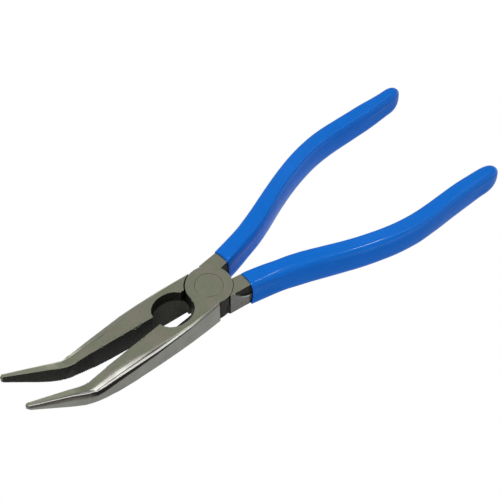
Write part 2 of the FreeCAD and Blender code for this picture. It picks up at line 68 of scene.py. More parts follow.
# how far down the neck's forging hollow reaches
HOLLOW = [(-12.6, 5.5), (-12.2, 5.4), (-11.0, 5.1), (-9.9, 4.75), (-8.7, 4.1), (-7.5, 3.3), (-6.5, 2.4), (-6.0, 1.75), (-5.4, 0.8), (-5.0, 0.0)]


def jaw(col, x):
    return np.interp(x, JAW[:, 0], JAW[:, col])


# ---- meshes ------------------------------------------------------------------
def to_half(co, body):
    s = SIGN[body]
    a = -s * OPEN
    x = co[:, 0] * math.cos(a) - co[:, 1] * math.sin(a)
    y = co[:, 0] * math.sin(a) + co[:, 1] * math.cos(a)
    return np.stack([x, y * s, co[:, 2]], -1) / MM


def from_half(c, body):
    s = SIGN[body]
    a = s * OPEN
    x, y = c[:, 0] * MM, c[:, 1] * s * MM
    return np.stack([x * math.cos(a) - y * math.sin(a), x * math.sin(a) + y * math.cos(a), c[:, 2] * MM], -1)


def get_co(me):
    co = np.empty(len(me.vertices) * 3, np.float32)
    me.vertices.foreach_get("co", co)
    return co.reshape(-1, 3).astype(float)


def set_co(me, co):
    me.vertices.foreach_set("co", co.astype(np.float32).ravel())
    me.update()


def get_normals(me):
    no = np.empty(len(me.vertices) * 3, np.float32)
    me.vertices.foreach_get("normal", no)
    return no.reshape(-1, 3).astype(float)


def new_object(name, me):
    ob = bpy.data.objects.new(name, me)
    bpy.context.scene.collection.objects.link(ob)
    return ob


def baked(ob):
    """The object's mesh with its modifiers applied."""
    dg = bpy.context.evaluated_depsgraph_get()
    me = bpy.data.meshes.new_from_object(ob.evaluated_get(dg))
    ob.modifiers.clear()
    ob.data = me
    return me


def smooth(co, e, n, steps, weight=1.0, lam=0.5):
    deg = np.maximum(np.bincount(e.ravel(), minlength=n), 1)
    w = lam * np.broadcast_to(weight, (n,))
    for _ in range(steps):
        for k in range(3):
            s = np.bincount(e[:, 0], weights=co[e[:, 1], k], minlength=n) + np.bincount(e[:, 1], weights=co[e[:, 0], k], minlength=n)
            co[:, k] += w * (s / deg - co[:, k])
    return co


def ramp(v, a, b):
    t = np.clip((v - a) / (b - a), 0, 1)
    return t * t * (3 - 2 * t)


def waves(c, seed, scale, count=14):
    """Smooth seeded unevenness, about -1 to 1, with detail of the given size in mm."""
    rng = np.random.RandomState(seed)
    out = np.zeros(len(c))
    for _ in range(count):
        k = rng.normal(size=3)
        k *= 2 * math.pi / (scale * rng.uniform(0.7, 1.6)) / np.linalg.norm(k)
        out += np.sin(c @ k + rng.uniform(0, 2 * math.pi))
    return out / math.sqrt(count)


def ring2(c):
    return np.hypot(c[:, 0], c[:, 1])


def forged_half(name, node, body):
    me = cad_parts[node].data.copy()
    ob = new_object(name, me)
    bm = bmesh.new()
    bm.from_mesh(me)
    bmesh.ops.remove_doubles(bm, verts=bm.verts, dist=1e-6)
    bmesh.ops.scale(bm, vec=(1000, 1000, 1000), verts=bm.verts)
    bm.to_mesh(me)
    bm.free()
    me.materials.clear()
    m = ob.modifiers.new("voxels", "REMESH")
    m.mode = "VOXEL"
    m.voxel_size = 0.13
    me = baked(ob)
    n = len(me.vertices)
    e = np.empty(len(me.edges) * 2, np.int32)
    me.edges.foreach_get("vertices", e)
    e = e.reshape(-1, 2)
    c = to_half(get_co(me) * MM, body)

    x, y, z = c.T
    grip_face = (1 - ramp(y, 0.45, 0.8)) * ramp(x, 46.5, 48.5)
    ring = np.hypot(x, y)
    tight = np.maximum((1 - ramp(np.abs(ring - 5.1), 0.35, 0.6)), (1 - ramp(np.abs(ring - 8.65), 0.3, 0.5)) * ramp(-x, -0.5, 1.0)) * ramp(z, 10.2, 10.5)
    crisp = (1 - ramp(jaw(1, x) - z, 0.4, 0.8)) * np.maximum(1 - ramp(y, 2.2, 3.0), 1 - ramp(x, 20, 26))
    smooth(c, e, n, 4, (1 - 0.97 * grip_face) * (1 - 0.85 * tight) * (1 - 0.6 * crisp))
    # the shoulder of the top is rolled over softly, and so is the root of the bend
    x, y, z = c.T
    d = jaw(1, x) - z
    roll = ramp(x, 16, 30) * (1 - ramp(x, 62, 70)) * (1 - ramp(np.abs(y - jaw(3, x)), 0.7, 1.5)) * (1 - ramp(d, 0.5, 0.9))
    smooth(c, e, n, 26, roll)
    bend = (1 - ramp(np.abs(x - 58.4), 2.0, 4.0)) * ramp(y, 1.0, 1.8)
    smooth(c, e, n, 16, 0.8 * bend)
    face = ramp(x, 20, 32) * (1 - ramp(x, 66, 72)) * ramp(y, jaw(3, x) + 0.1, jaw(3, x) + 0.5) * (1 - ramp(d - jaw(5, x), -0.35, -0.15))
    smooth(c, e, n, 30, face)

    # curvature, for worn edges
    deg = np.bincount(e.ravel(), minlength=n)
    mean = np.stack([(np.bincount(e[:, 0], weights=c[e[:, 1], k], minlength=n) + np.bincount(e[:, 1], weights=c[e[:, 0], k], minlength=n)) / deg for k in range(3)], -1)
    set_co(me, from_half(c, body) / MM)
    no = get_normals(me)
    s, a = SIGN[body], -SIGN[body] * OPEN
    nc = np.stack([no[:, 0] * math.cos(a) - no[:, 1] * math.sin(a), (no[:, 0] * math.sin(a) + no[:, 1] * math.cos(a)) * s, no[:, 2]], -1)
    curve = ((c - mean) * nc).sum(1) / 0.13 ** 2
    curve = smooth(np.repeat(curve[:, None], 3, 1), e, n, 2)[:, 0]

    # relief: unground band, worn ridge, forging hollow in the neck, notch in the bend
    x, y, z = c.T
    d = jaw(1, x) - z
    u = d - jaw(5, x)
    blim = np.interp(x, [p[0] for p in BAND], [p[1] for p in BAND])
    outer = ramp(y, 0.55 * jaw(4, x), 0.75 * jaw(4, x)) * ramp(x, 8, 14)
    push = -0.13 * outer * ramp(u, 0.08, 0.3) * (1 - ramp(u, blim - 0.05, blim + 0.25)) * ramp(x, 18, 34)
    push += 0.05 * outer * np.exp(-((u - 0.0) / 0.12) ** 2) * ramp(x, 18, 30)
    tall = np.interp(x, [q[0] for q in HOLLOW], [q[1] for q in HOLLOW])
    side = ramp(-y, 7.2, 7.8) * (x < -3)
    hollow = side * ramp(z, 10.62 - tall, 11.1 - tall) * (1 - ramp(z, 10.55, 10.78)) * ramp(-x, 5.0, 5.8)
    push += -0.45 * hollow
    notch = outer * np.exp(-((x - 59.2) / 0.9) ** 2 - ((u - 0.15) / 0.45) ** 2) - 0.8 * outer * np.exp(-((x - 57.0) / 1.1) ** 2 - ((u + 0.1) / 0.3) ** 2)
    push += -0.22 * notch
    ground = 1 - grip_face
    still = 1 - ramp(y, jaw(3, x) - 0.3, jaw(3, x) + 0.3) * ramp(x, 14, 20) * (1 - ramp(u, -0.2, 0.0))
    push += (0.012 * waves(c, 3, 9.0) + 0.005 * waves(c, 4, 3.2) * still) * ground
    # the upper leaf fills its hollow on the handle's side
    if body == "upper":
        wall = 1 - ramp(np.abs(nc[:, 2]), 0.2, 0.5)
        push += 0.05 * wall * (1 - ramp(np.abs(ring2(c) - 8.6), 0.2, 0.4)) * ramp(-x, 0.0, 2.0) * ramp(z, 5.5, 5.7)
        # the rim was linished a little flat beside the neck
        push += -0.38 * wall * ramp(-y, 5.0, 7.0) * ramp(x, -4.4, -3.2) * (1 - ramp(x, 3.0, 6.5))
    rough = outer * ramp(u, 0.08, 0.3) * (1 - ramp(u, blim, blim + 0.2)) + hollow
    push += 0.03 * waves(c, 5, 1.3, 22) * rough
    c = c + nc * push[:, None]
    c[:, 2] = np.clip(c[:, 2], 0.0, None)
    set_co(me, from_half(c, body))
    at = me.attributes.new("worn", "FLOAT", "POINT")
    at.data.foreach_set("value", np.clip(curve, -4, 4).astype(np.float32))
    faces = 2 * len(me.polygons)
    if faces > 190000:
        m = ob.modifiers.new("thin", "DECIMATE")
        m.ratio = 190000.0 / faces
        me = baked(ob)
    for p in me.polygons:
        p.use_smooth = True
    m = ob.modifiers.new("shade", "WEIGHTED_NORMAL")
    m.mode = "FACE_AREA"
    m.weight = 40
    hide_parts(node)
    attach(ob, body)
    return ob


def rivet(name):
    """Turned solid: both heads flush with the joint, each with a small worn chamfer."""
    pr = [(0.0, 0.02), (3.2, 0.015), (4.6, 0.02), (5.0, 0.03), (5.06, 0.05), (5.09, 0.08), (5.1, 0.14), (5.1, 0.7), (3.0, 2.3),
          (3.0, 8.5), (5.1, 10.1), (5.13, 10.66), (5.12, 10.72), (5.09, 10.75), (5.02, 10.77), (4.6, 10.785), (3.2, 10.79), (0.0, 10.785)]
    k = 192
    verts, faces = [(0, 0, pr[0][1] * MM)], []
    rings = pr[1:-1]
    for r, z in rings:
        for j in range(k):
            t = 2 * math.pi * j / k
            verts.append((r * MM * math.cos(t), r * MM * math.sin(t), z * MM))
    verts.append((0, 0, pr[-1][1] * MM))
    for j in range(k):
        faces.append((0, 1 + (j + 1) % k, 1 + j))
    for i in range(len(rings) - 1):
        a, b = 1 + i * k, 1 + (i + 1) * k
        for j in range(k):
            faces.append((a + j, a + (j + 1) % k, b + (j + 1) % k, b + j))
    last, a = len(verts) - 1, 1 + (len(rings) - 1) * k
    for j in range(k):
        faces.append((a + j, a + (j + 1) % k, last))
    me = bpy.data.meshes.new(name)
    me.from_pydata(verts, [], faces)
    me.update()
    for p in me.polygons:
        p.use_smooth = True
    ob = new_object(name, me)
    m = ob.modifiers.new("shade", "WEIGHTED_NORMAL")
    m.mode = "FACE_AREA"
    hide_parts("pivot_rivet")
    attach(ob, "lower")
    return ob


# x, centre y, core width, core height, grip width, grip height
ROD = np.array([
    (-11.0, 5.66, 5.98, 10.80, 8.50, 12.45),
    (-12.2, 5.80, 5.95, 10.80, 8.50, 12.50),
    (-22.0, 7.36, 5.90, 10.80, 8.54, 12.58),
    (-34.0, 10.24, 5.80, 10.80, 8.52, 12.66),
    (-46.0, 14.10, 5.70, 10.70, 8.40, 12.68),
    (-58.0, 17.54, 5.40, 10.60, 8.16, 12.64),
    (-68.0, 19.49, 5.20, 10.50, 7.92, 12.56),
    (-78.0, 20.13, 5.00, 10.30, 7.62, 12.40),
    (-90.0, 19.22, 4.80, 10.00, 7.22, 12.12),
    (-102.0, 18.00, 4.70, 9.70, 6.86, 11.82),
    (-111.0, 17.48, 4.55, 9.30, 6.60, 11.46),
    (-119.0, 17.30, 4.30, 9.00, 6.40, 11.10),
])


def spline(xs, ys, q):
    """Natural cubic spline through (xs, ys), xs rising."""
    n = len(xs)
    h = np.diff(xs)
    A = np.zeros((n, n))
    r = np.zeros(n)
    A[0, 0] = A[-1, -1] = 1
    for i in range(1, n - 1):
        A[i, i - 1], A[i, i], A[i, i + 1] = h[i - 1], 2 * (h[i - 1] + h[i]), h[i]
        r[i] = 3 * ((ys[i + 1] - ys[i]) / h[i] - (ys[i] - ys[i - 1]) / h[i - 1])
    c2 = np.linalg.solve(A, r)
    b = np.diff(ys) / h - h * (2 * c2[:-1] + c2[1:]) / 3
    d3 = np.diff(c2) / (3 * h)
    i = np.clip(np.searchsorted(xs, q) - 1, 0, n - 2)
    t = q - xs[i]
    return ys[i] + b[i] * t + c2[i] * t ** 2 + d3[i] * t ** 3


def rod(col, x):
    return spline(ROD[::-1, 0], ROD[::-1, col], np.atleast_1d(np.asarray(x, float)))


def sleeve_section(x, w, t, p, crease, off):
    """Offsets (across, up) of one section of the grip, round from the +across side."""
    k = RING
    f = 2 * np.pi * (np.arange(k) + 0.5) / k
    cs, sn = np.cos(f), np.sin(f)
    a, b = w / 2, t / 2
    px = a * np.sign(cs) * np.abs(cs) ** (2 / p)
    pz = b * np.sign(sn) * np.abs(sn) ** (2 / p)
    nx = np.sign(px) * np.abs(px / a) ** (p - 1) / a
    nz = np.sign(pz) * np.abs(pz / b) ** (p - 1) / b
    ln = np.hypot(nx, nz) + 1e-12
    nx, nz = nx / ln, nz / ln
    # soft ridge either side of the top and of the underside
    dist = np.abs(np.abs(px) - off)
    near = np.exp(-(dist / 0.55) ** 2) * (np.abs(pz) > 0.35 * b)
    hollow = np.exp(-((np.abs(px) - off - 1.1) / 0.7) ** 2) * (np.abs(pz) > 0.2 * b)
    px = px + crease * (near - 0.35 * hollow) * nx
    pz = pz + crease * (near - 0.35 * hollow) * nz
    return px, pz


def round_rect(w, t, r):
    """The same number of points as a sleeve section, on a rounded rectangle."""
    k = RING
    f = 2 * np.pi * (np.arange(k) + 0.5) / k
    cs, sn = np.cos(f), np.sin(f)
    a, b = w / 2 - r, t / 2 - r
    # march the direction (cs * w, sn * t) out to the boundary
    dx, dz = cs * w / 2, sn * t / 2
    lo, hi = np.zeros(k), np.full(k, 1.6)
    for _ in range(40):
        m = (lo + hi) / 2
        qx, qz = np.abs(dx * m) - a, np.abs(dz * m) - b
        sd = np.hypot(np.maximum(qx, 0), np.maximum(qz, 0)) + np.minimum(np.maximum(qx, qz), 0) - r
        inside = sd < 0
        lo, hi = np.where(inside, m, lo), np.where(inside, hi, m)
    return dx * lo, dz * lo


RING = 176
LIP = -12.25
END = -118.0


def grip(name, node, body, shift, LIP, end):
    """Dipped sleeve: soft ridges, rolled lip, rounded blind end, and the cavity round the core."""
    k = RING
    rings = []
    mid_z = 5.4

    def add(x, px, pz, cy, lean=0.0):
        # the dip line is bowed: it runs further forward along the four ridges
        a, b = np.abs(px).max(), np.abs(pz).max()
        bow = 0.22 - 0.50 * (1 - (px / a) ** 2) - 0.75 * (1 - (pz / b) ** 2)
        bow = bow * float(1 - ramp(np.array([-x]), -LIP + 0.3, -LIP + 9.0)[0])
        rings.append(np.stack([x + bow + lean * pz, -(cy + px), mid_z + pz], -1))

    def profile(x):
        cy, w, t = rod(1, x)[0], rod(4, x)[0], rod(5, x)[0]
        u = -x
        slim = float(ramp(np.array([u]), 56, 72)[0] * (1 - ramp(np.array([u]), 84, 100)[0]))
        tail = float(ramp(np.array([u]), 98, 118)[0])
        front = 1 - float(ramp(np.array([u]), 13, 36)[0])
        arch = float(ramp(np.array([u]), 62, 80)[0])
        if body == "upper":
            w = w - 0.62 - 0.12 * slim - 1.10 * tail - 0.72 * front
            cy = cy - 0.13 + 0.12 * front - 0.08 * slim - 0.26 * tail
        else:
            w = w - 0.17 - 0.66 * tail - 0.97 * front
            cy = cy + 0.03 + 0.20 * front + 0.06 * arch + 0.08 * tail
        t = t - 0.06
        far = float(ramp(np.array([u]), 14, 34)[0])
        p = 3.5 + 2.9 * (1 - float(ramp(np.array([u]), 12.2, 27)[0]))
        off = 3.85 - 0.45 * far - 1.05 * float(ramp(np.array([u]), 24, 60)[0]) + 0.25 * float(ramp(np.array([u]), 60, 110)[0])
        crease = 0.10 + 0.05 * far
        return cy + shift * float(ramp(np.array([-x]), 20, 60)[0]), w, t, p, crease, off

    # inner end cap centre is added later; cavity from the blind end out to the lip
    inner = np.concatenate([np.arange(-110.6, -14.6, 2.2), [LIP - 0.75, LIP - 0.45, LIP + 0.2]])
    for x in inner:
        cy = rod(1, x)[0] + shift * float(ramp(np.array([-x]), 20, 60)[0]) * 0.0
        open_ = float(ramp(np.array([x]), LIP - 0.95, LIP)[0])
        px, pz = round_rect(rod(2, x)[0] + 0.02 + 0.16 * open_, rod(3, x)[0] + 0.02 + 0.14 * open_, 1.55 - 0.95 * open_)
        add(x, px, pz, cy)
    # rolled lip: inner wall to outer skin round a small radius
    cy, w, t, p, crease, off = profile(LIP)
    ix, iz = round_rect(rod(2, LIP)[0] + 0.18, rod(3, LIP)[0] + 0.16, 0.6)
    ox, oz = sleeve_section(LIP, w, t, p, crease, off)
    for q in (0.12, 0.3, 0.5, 0.7, 0.85, 0.95):
        # q runs from the inner wall to the skin; the lip stands forward in the middle
        rise = 0.42 * math.sqrt(max(0.0, 1 - (2 * q - 1) ** 2)) + 0.25 * (1 - q)
        add(LIP + rise, ix + (ox - ix) * q, iz + (oz - iz) * q, cy)
    skin = np.concatenate([LIP - np.array([0.0, 0.1, 0.25, 0.45]), np.arange(LIP - 0.8, -110.5, -0.42)])
    for x in skin:
        cy, w, t, p, crease, off = profile(x)
        swell = 1 - 0.012 * math.exp(-((x - LIP) / 0.5) ** 2)
        px, pz = sleeve_section(x, w * swell, t * swell, p, crease, off)
        add(x, px, pz, cy)
    x0 = skin[-1]
    cy0, w0, t0, p0, crease0, off0 = profile(x0)
    length = x0 - end
    for q in np.sin(np.linspace(0, math.pi / 2, 34)[1:-1]):
        x = x0 - length * q
        fw = (1 - q ** 2.9) ** (1 / 2.1)
        ft = (1 - q ** 3.4) ** (1 / 2.4)
        cy, _, _, p, crease, off = profile(x)
        px, pz = sleeve_section(x, w0 * fw, t0 * ft, p - (p - 2.3) * q ** 3, crease * (1 - q), off * fw)
        add(x + 0.20 * q ** 2, px, pz, cy, -0.035 * q ** 2)
    pts = np.concatenate(rings)
    m = len(rings)
    first = np.array([[-110.9, -rod(1, -110.9)[0], mid_z]])
    last = np.array([[end + 0.20, -(profile(end)[0]), mid_z]])
    pts = np.concatenate([pts, first, last])
    pts += 0.0
    # soft unevenness of a dipped skin, kept off the lip and the cavity
    n_in = len(inner) + 6
    v = np.zeros(len(pts))
    v[n_in * k:m * k] = 1.0
    mid = np.stack([pts[:, 0], np.interp(pts[:, 0], ROD[::-1, 0], -ROD[::-1, 1]), np.full(len(pts), mid_z)], -1)
    out = pts - mid
    out[:, 0] = 0
    out /= np.linalg.norm(out, axis=1)[:, None] + 1e-9
    fade = ramp(-pts[:, 0], 12.0, 16.0) * (1 - ramp(-pts[:, 0], 112, 117))
    pts += out * ((0.030 * waves(pts, 11, 16.0) + 0.012 * waves(pts, 12, 6.0) - 0.03) * v * fade)[:, None]
    faces = []
    for i in range(m - 1):
        a, b = i * k, (i + 1) * k
        for j in range(k):
            j2 = (j + 1) % k
            faces.append((a + j, a + j2, b + j2, b + j))
    fi, la = m * k, m * k + 1
    for j in range(k):
        faces.append((fi, (j + 1) % k, j))
        a = (m - 1) * k
        faces.append((la, a + j, a + (j + 1) % k))
    me = bpy.data.meshes.new(name)
    me.from_pydata([tuple(q) for q in from_half(pts, body)], [], faces)
    me.update()
    bm = bmesh.new()
    bm.from_mesh(me)
    bmesh.ops.recalc_face_normals(bm, faces=bm.faces)
    bm.to_mesh(me)
    bm.free()
    for q in me.polygons:
        q.use_smooth = True
    ob = new_object(name, me)
    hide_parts(node)
    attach(ob, body)
    return ob


# ---- materials ---------------------------------------------------------------
class Nodes:
    """Small helper: each call adds one shader node and gives back its main output."""

    def __init__(self, name):
        self.mat = bpy.data.materials.new(name)
        self.mat.use_nodes = True
        self.t = self.mat.node_tree
        self.t.nodes.clear()
        self.out = self.t.nodes.new("ShaderNodeOutputMaterial")

    def put(self, socket, value):
        if isinstance(value, bpy.types.NodeSocket):
            self.t.links.new(value, socket)
        elif value is not None:
            socket.default_value = value

    def node(self, kind, *values, **props):
        n = self.t.nodes.new(kind)
        for key, val in props.items():
            setattr(n, key, val)
        for socket, val in zip(n.inputs, values):
            self.put(socket, val)
        return n

    def math(self, op, a, b=None, c=None, clamp=False):
        n = self.node("ShaderNodeMath", a, b, c, operation=op, use_clamp=clamp)
        return n.outputs[0]

    def add(self, a, b):
        return self.math("ADD", a, b)

    def sub(self, a, b):
        return self.math("SUBTRACT", a, b)

    def mul(self, a, b):
        return self.math("MULTIPLY", a, b)

    def vmax(self, a, b):
        return self.math("MAXIMUM", a, b)

    def step(self, v, a, b):
        """0 below a and 1 above b, or the other way round when a > b."""
        n = self.t.nodes.new("ShaderNodeMapRange")
        n.interpolation_type = "SMOOTHSTEP"
        lo, hi, flip = (a, b, False)
        if not isinstance(a, bpy.types.NodeSocket) and not isinstance(b, bpy.types.NodeSocket) and a > b:
            lo, hi, flip = b, a, True
        self.put(n.inputs["Value"], v)
        self.put(n.inputs["From Min"], lo)
        self.put(n.inputs["From Max"], hi)
        n.inputs["To Min"].default_value = 1.0 if flip else 0.0
        n.inputs["To Max"].default_value = 0.0 if flip else 1.0
        return n.outputs["Result"]

    def curve(self, v, pts, top):
        """A curve of straight runs through pts, with x from 0 to 90 and y from 0 to top."""
        n = self.t.nodes.new("ShaderNodeFloatCurve")
        c = n.mapping.curves[0]
        pts = [(px / 90.0, py / top) for px, py in pts]
        if pts[0][0] > 0:
            pts = [(0.0, pts[0][1])] + pts
        if pts[-1][0] < 1:
            pts = pts + [(1.0, pts[-1][1])]
        while len(c.points) < len(pts):
            c.points.new(0.5, 0.5)
        for q, (px, py) in zip(c.points, pts):
            q.location = (px, py)
            q.handle_type = "VECTOR"
        n.mapping.update()
        self.put(n.inputs["Value"], self.mul(v, 1 / 90.0))
        return self.mul(n.outputs[0], top)

    def noise(self, vec, scale, detail=3.0, rough=0.5, dist=0.0):
        n = self.t.nodes.new("ShaderNodeTexNoise")
        self.put(n.inputs["Vector"], vec)
        n.inputs["Scale"].default_value = scale
        n.inputs["Detail"].default_value = detail
        n.inputs["Roughness"].default_value = rough
        n.inputs["Distortion"].default_value = dist
        return n.outputs["Fac"]

    def stretch(self, vec, v):
        n = self.node("ShaderNodeVectorMath", vec, v, operation="MULTIPLY")
        return n.outputs[0]

    def mix(self, f, a, b):
        n = self.t.nodes.new("ShaderNodeMix")
        n.data_type = "RGBA"
        self.put(n.inputs["Factor"], f)
        self.put([i for i in n.inputs if i.name == "A" and i.type == "RGBA"][0], a)
        self.put([i for i in n.inputs if i.name == "B" and i.type == "RGBA"][0], b)
        return [o for o in n.outputs if o.type == "RGBA"][0]

    def fmix(self, f, a, b):
        n = self.t.nodes.new("ShaderNodeMix")
        n.data_type = "FLOAT"
        self.put(n.inputs["Factor"], f)
        self.put([i for i in n.inputs if i.name == "A" and i.type == "VALUE"][0], a)
        self.put([i for i in n.inputs if i.name == "B" and i.type == "VALUE"][0], b)
        return [o for o in n.outputs if o.type == "VALUE"][0]

    def bump(self, height, distance, strength=1.0, under=None):
        n = self.t.nodes.new("ShaderNodeBump")
        n.inputs["Strength"].default_value = strength
        n.inputs["Distance"].default_value = distance
        self.put(n.inputs["Height"], height)
        if under is not None:
            self.put(n.inputs["Normal"], under)
        return n.outputs[0]

    def surface(self, base, rough, normal, metallic=0.0, specular=0.5, ior=1.5, coat=0.0, coat_rough=0.1, aniso=0.0):
        n = self.t.nodes.new("ShaderNodeBsdfPrincipled")
        self.put(n.inputs["Base Color"], base)
        self.put(n.inputs["Roughness"], rough)
        self.put(n.inputs["Metallic"], metallic)
        self.put(n.inputs["Specular IOR Level"], specular)
        self.put(n.inputs["IOR"], ior)
        self.put(n.inputs["Coat Weight"], coat)
        self.put(n.inputs["Coat Roughness"], coat_rough)
        self.put(n.inputs["Anisotropic"], aniso)
        if normal is not None:
            self.put(n.inputs["Normal"], normal)
        self.t.links.new(n.outputs[0], self.out.inputs["Surface"])
        return n


def rgb(r, g, b):
    return (r, g, b, 1.0)


def half_coords(g, body):
    """Position in the half's own frame, in mm, and its unit normal."""
    tc = g.t.nodes.new("ShaderNodeTexCoord")
    turn = g.t.nodes.new("ShaderNodeVectorRotate")
    turn.rotation_type = "Z_AXIS"
    g.put(turn.inputs["Vector"], tc.outputs["Object"])
    turn.inputs["Angle"].default_value = -SIGN[body] * OPEN
    return g.stretch(turn.outputs[0], (1000.0, 1000.0 * SIGN[body], 1000.0)), tc.outputs["Normal"]


TOP = rgb(0.492, 0.528, 0.378)
TOP_WARM = rgb(0.530, 0.515, 0.402)
SIDE_SHADED = rgb(0.178, 0.181, 0.160)
POLISH_AND_HIGHLIGHT = rgb(0.60, 0.59, 0.54)
OXIDE = rgb(0.015, 0.016, 0.012)
OXIDE_SOFT = rgb(0.034, 0.035, 0.029)
BAND_COL = rgb(0.016, 0.014, 0.011)
BROWN = rgb(0.066, 0.054, 0.044)


def steel(body):
    g = Nodes("ground_steel_" + body)
    p, nrm = half_coords(g, body)
    sep = g.node("ShaderNodeSeparateXYZ", p)
    x, y, z = sep.outputs[0], sep.outputs[1], sep.outputs[2]
    nsep = g.node("ShaderNodeSeparateXYZ", nrm)
    nz = nsep.outputs[2]
    X = list(JAW[:, 0])
    top = g.curve(x, list(zip(X, JAW[:, 1])), 30.0)
    base = g.curve(x, list(zip(X, JAW[:, 2])), 30.0)
    drop = g.curve(x, list(zip(X, JAW[:, 5])), 3.0)
    ridge = g.curve(x, list(zip(X, JAW[:, 4])), 10.0)
    flat = g.curve(x, list(zip(X, JAW[:, 3])), 10.0)
    band = g.curve(x, BAND, 3.0)

    wob = g.sub(g.noise(p, 0.9, 3.0, 0.55), 0.5)          # blotches about 1 mm across
    fine = g.sub(g.noise(p, 5.0, 4.0, 0.6), 0.5)
    slow = g.sub(g.noise(p, 0.16, 2.0, 0.5), 0.5)
    lines = g.sub(g.noise(g.stretch(p, (0.10, 3.2, 3.2)), 2.2, 4.0, 0.65, 0.15), 0.5)
    cross = g.sub(g.noise(g.stretch(p, (2.6, 0.12, 2.6)), 2.0, 4.0, 0.65, 0.15), 0.5)

    d = g.sub(top, z)
    u = g.sub(d, drop)
    uw = g.add(u, g.mul(wob, 0.10))
    jaw_ = g.step(x, 1.0, 2.6)
    is_outer = g.mul(g.step(g.sub(y, g.mul(ridge, 0.62)), 0.0, 0.5), jaw_)
    up = g.vmax(g.step(d, 0.16, 0.05), g.mul(g.step(nz, 0.70, 0.80), g.mul(g.step(d, 1.0, 0.6), g.step(g.sub(y, flat), 0.3, 0.0))))
    down = g.step(g.sub(z, base), 0.14, 0.05)

    # black scale on the gripping faces, in the oval and in the hollow of the joint; the same dark colour on the neck's
    # inner and front walls, and as painted shade on the step wall
    inner = g.mul(g.step(y, 0.62, 0.45), g.mul(g.step(d, 0.05, 0.16), g.step(x, 8.0, 9.0)))
    ex = g.mul(g.sub(x, 16.35), 1 / 7.72)
    ey = g.mul(y, 1 / 6.12)
    ell = g.add(g.mul(ex, ex), g.mul(ey, ey))
    oval = g.mul(g.step(ell, 1.02, 0.99), g.step(z, 10.74, 10.60))
    rr = g.math("SQRT", g.add(g.mul(x, x), g.mul(y, y)))
    joint = g.mul(g.step(rr, 9.12, 9.02), g.mul(g.step(z, 10.74, 10.62), g.step(z, 0.06, 0.16)))
    horn = g.mul(g.mul(g.step(x, 7.0, 8.0), g.step(x, 12.4, 11.8)), g.mul(g.step(y, 3.75, 3.55), g.step(z, 10.74, 10.6)))
    crook = g.mul(g.step(x, -2.0, -3.0), g.mul(g.step(y, -3.6, -3.1), g.mul(g.step(z, 10.76, 10.6), g.step(z, 0.0, 0.2))))
    # the step wall's dark colour is painted shade
    step_wall_shade = g.mul(g.mul(g.step(x, 3.35, 3.05), g.step(x, 0.8, 1.4)), g.step(nz, 0.75, 0.65))
    neck_front = g.mul(g.mul(g.step(x, -3.62, -3.42), g.step(y, -2.0, -3.0)), g.mul(g.step(z, 10.76, 10.6), g.step(z, 0.0, 0.2)))
    scale = g.vmax(inner, g.vmax(oval, g.vmax(joint, g.vmax(horn, g.vmax(crook, g.vmax(step_wall_shade, neck_front))))))

    # neck side: forging hollow above, polished below
    neck = g.mul(g.step(x, -3.2, -3.8), g.step(y, -7.4, -7.9))
    tt = g.mul(g.add(x, 12.2), 1 / 7.3)
    tall = g.math("MAXIMUM", g.mul(5.4, g.sub(1.0, g.mul(tt, tt))), 0.0)
    below = g.sub(g.add(z, tall), g.add(10.76, g.mul(wob, 0.30)))
    hol = g.mul(neck, g.mul(g.step(below, -0.12, 0.12), g.step(z, 10.78, 10.62)))
    hol = g.mul(hol, g.step(x, -5.0, -5.6))
    # a dark brown patch low on the neck side beside the grip's lip
    lip_dark_patch = g.mul(neck, g.mul(g.step(x, -11.0, -12.1), g.step(z, 7.5, 5.5)))

    # outer side of the jaw
    facet = g.mul(is_outer, g.mul(g.step(d, 0.03, 0.12), g.step(u, -0.04, -0.10)))
    # painted reflections along the crest: a dark line and a bright highlight line
    crest_dark_reflection = g.mul(is_outer, g.mul(g.step(u, -0.44, -0.36), g.step(u, -0.22, -0.28)))
    nose = g.step(x, 57.5, 61.0)
    crest_highlight = g.mul(is_outer, g.mul(g.step(u, -0.23, -0.15), g.step(g.sub(u, g.mul(nose, 0.10)), 0.10, 0.02)))
    crest_highlight = g.mul(crest_highlight, g.fmix(g.step(x, 12.0, 28.0), 0.22, 1.0))
    soft = g.fmix(nose, 0.16, 1.9)
    edge = g.math("DIVIDE", g.sub(uw, g.mul(band, g.fmix(nose, 1.0, 0.42))), soft)
    bandm = g.mul(is_outer, g.mul(g.step(uw, 0.08, 0.18), g.step(edge, 1.0, 0.0)))
    bandm = g.mul(bandm, g.mul(g.step(x, 9.0, 20.0), g.fmix(nose, 1.0, 0.92)))

    shade = g.add(1.0, g.add(g.mul(wob, 0.16), g.add(g.mul(fine, 0.16), g.mul(slow, 0.22))))
    sidemix = g.add(1.0, g.add(g.mul(lines, 0.75), g.add(g.mul(slow, 0.45), g.mul(wob, 0.2))))

    def scaled(col, k):
        n = g.node("ShaderNodeVectorMath", col, None, operation="SCALE")
        g.put(n.inputs["Scale"], k)
        return n.outputs[0]

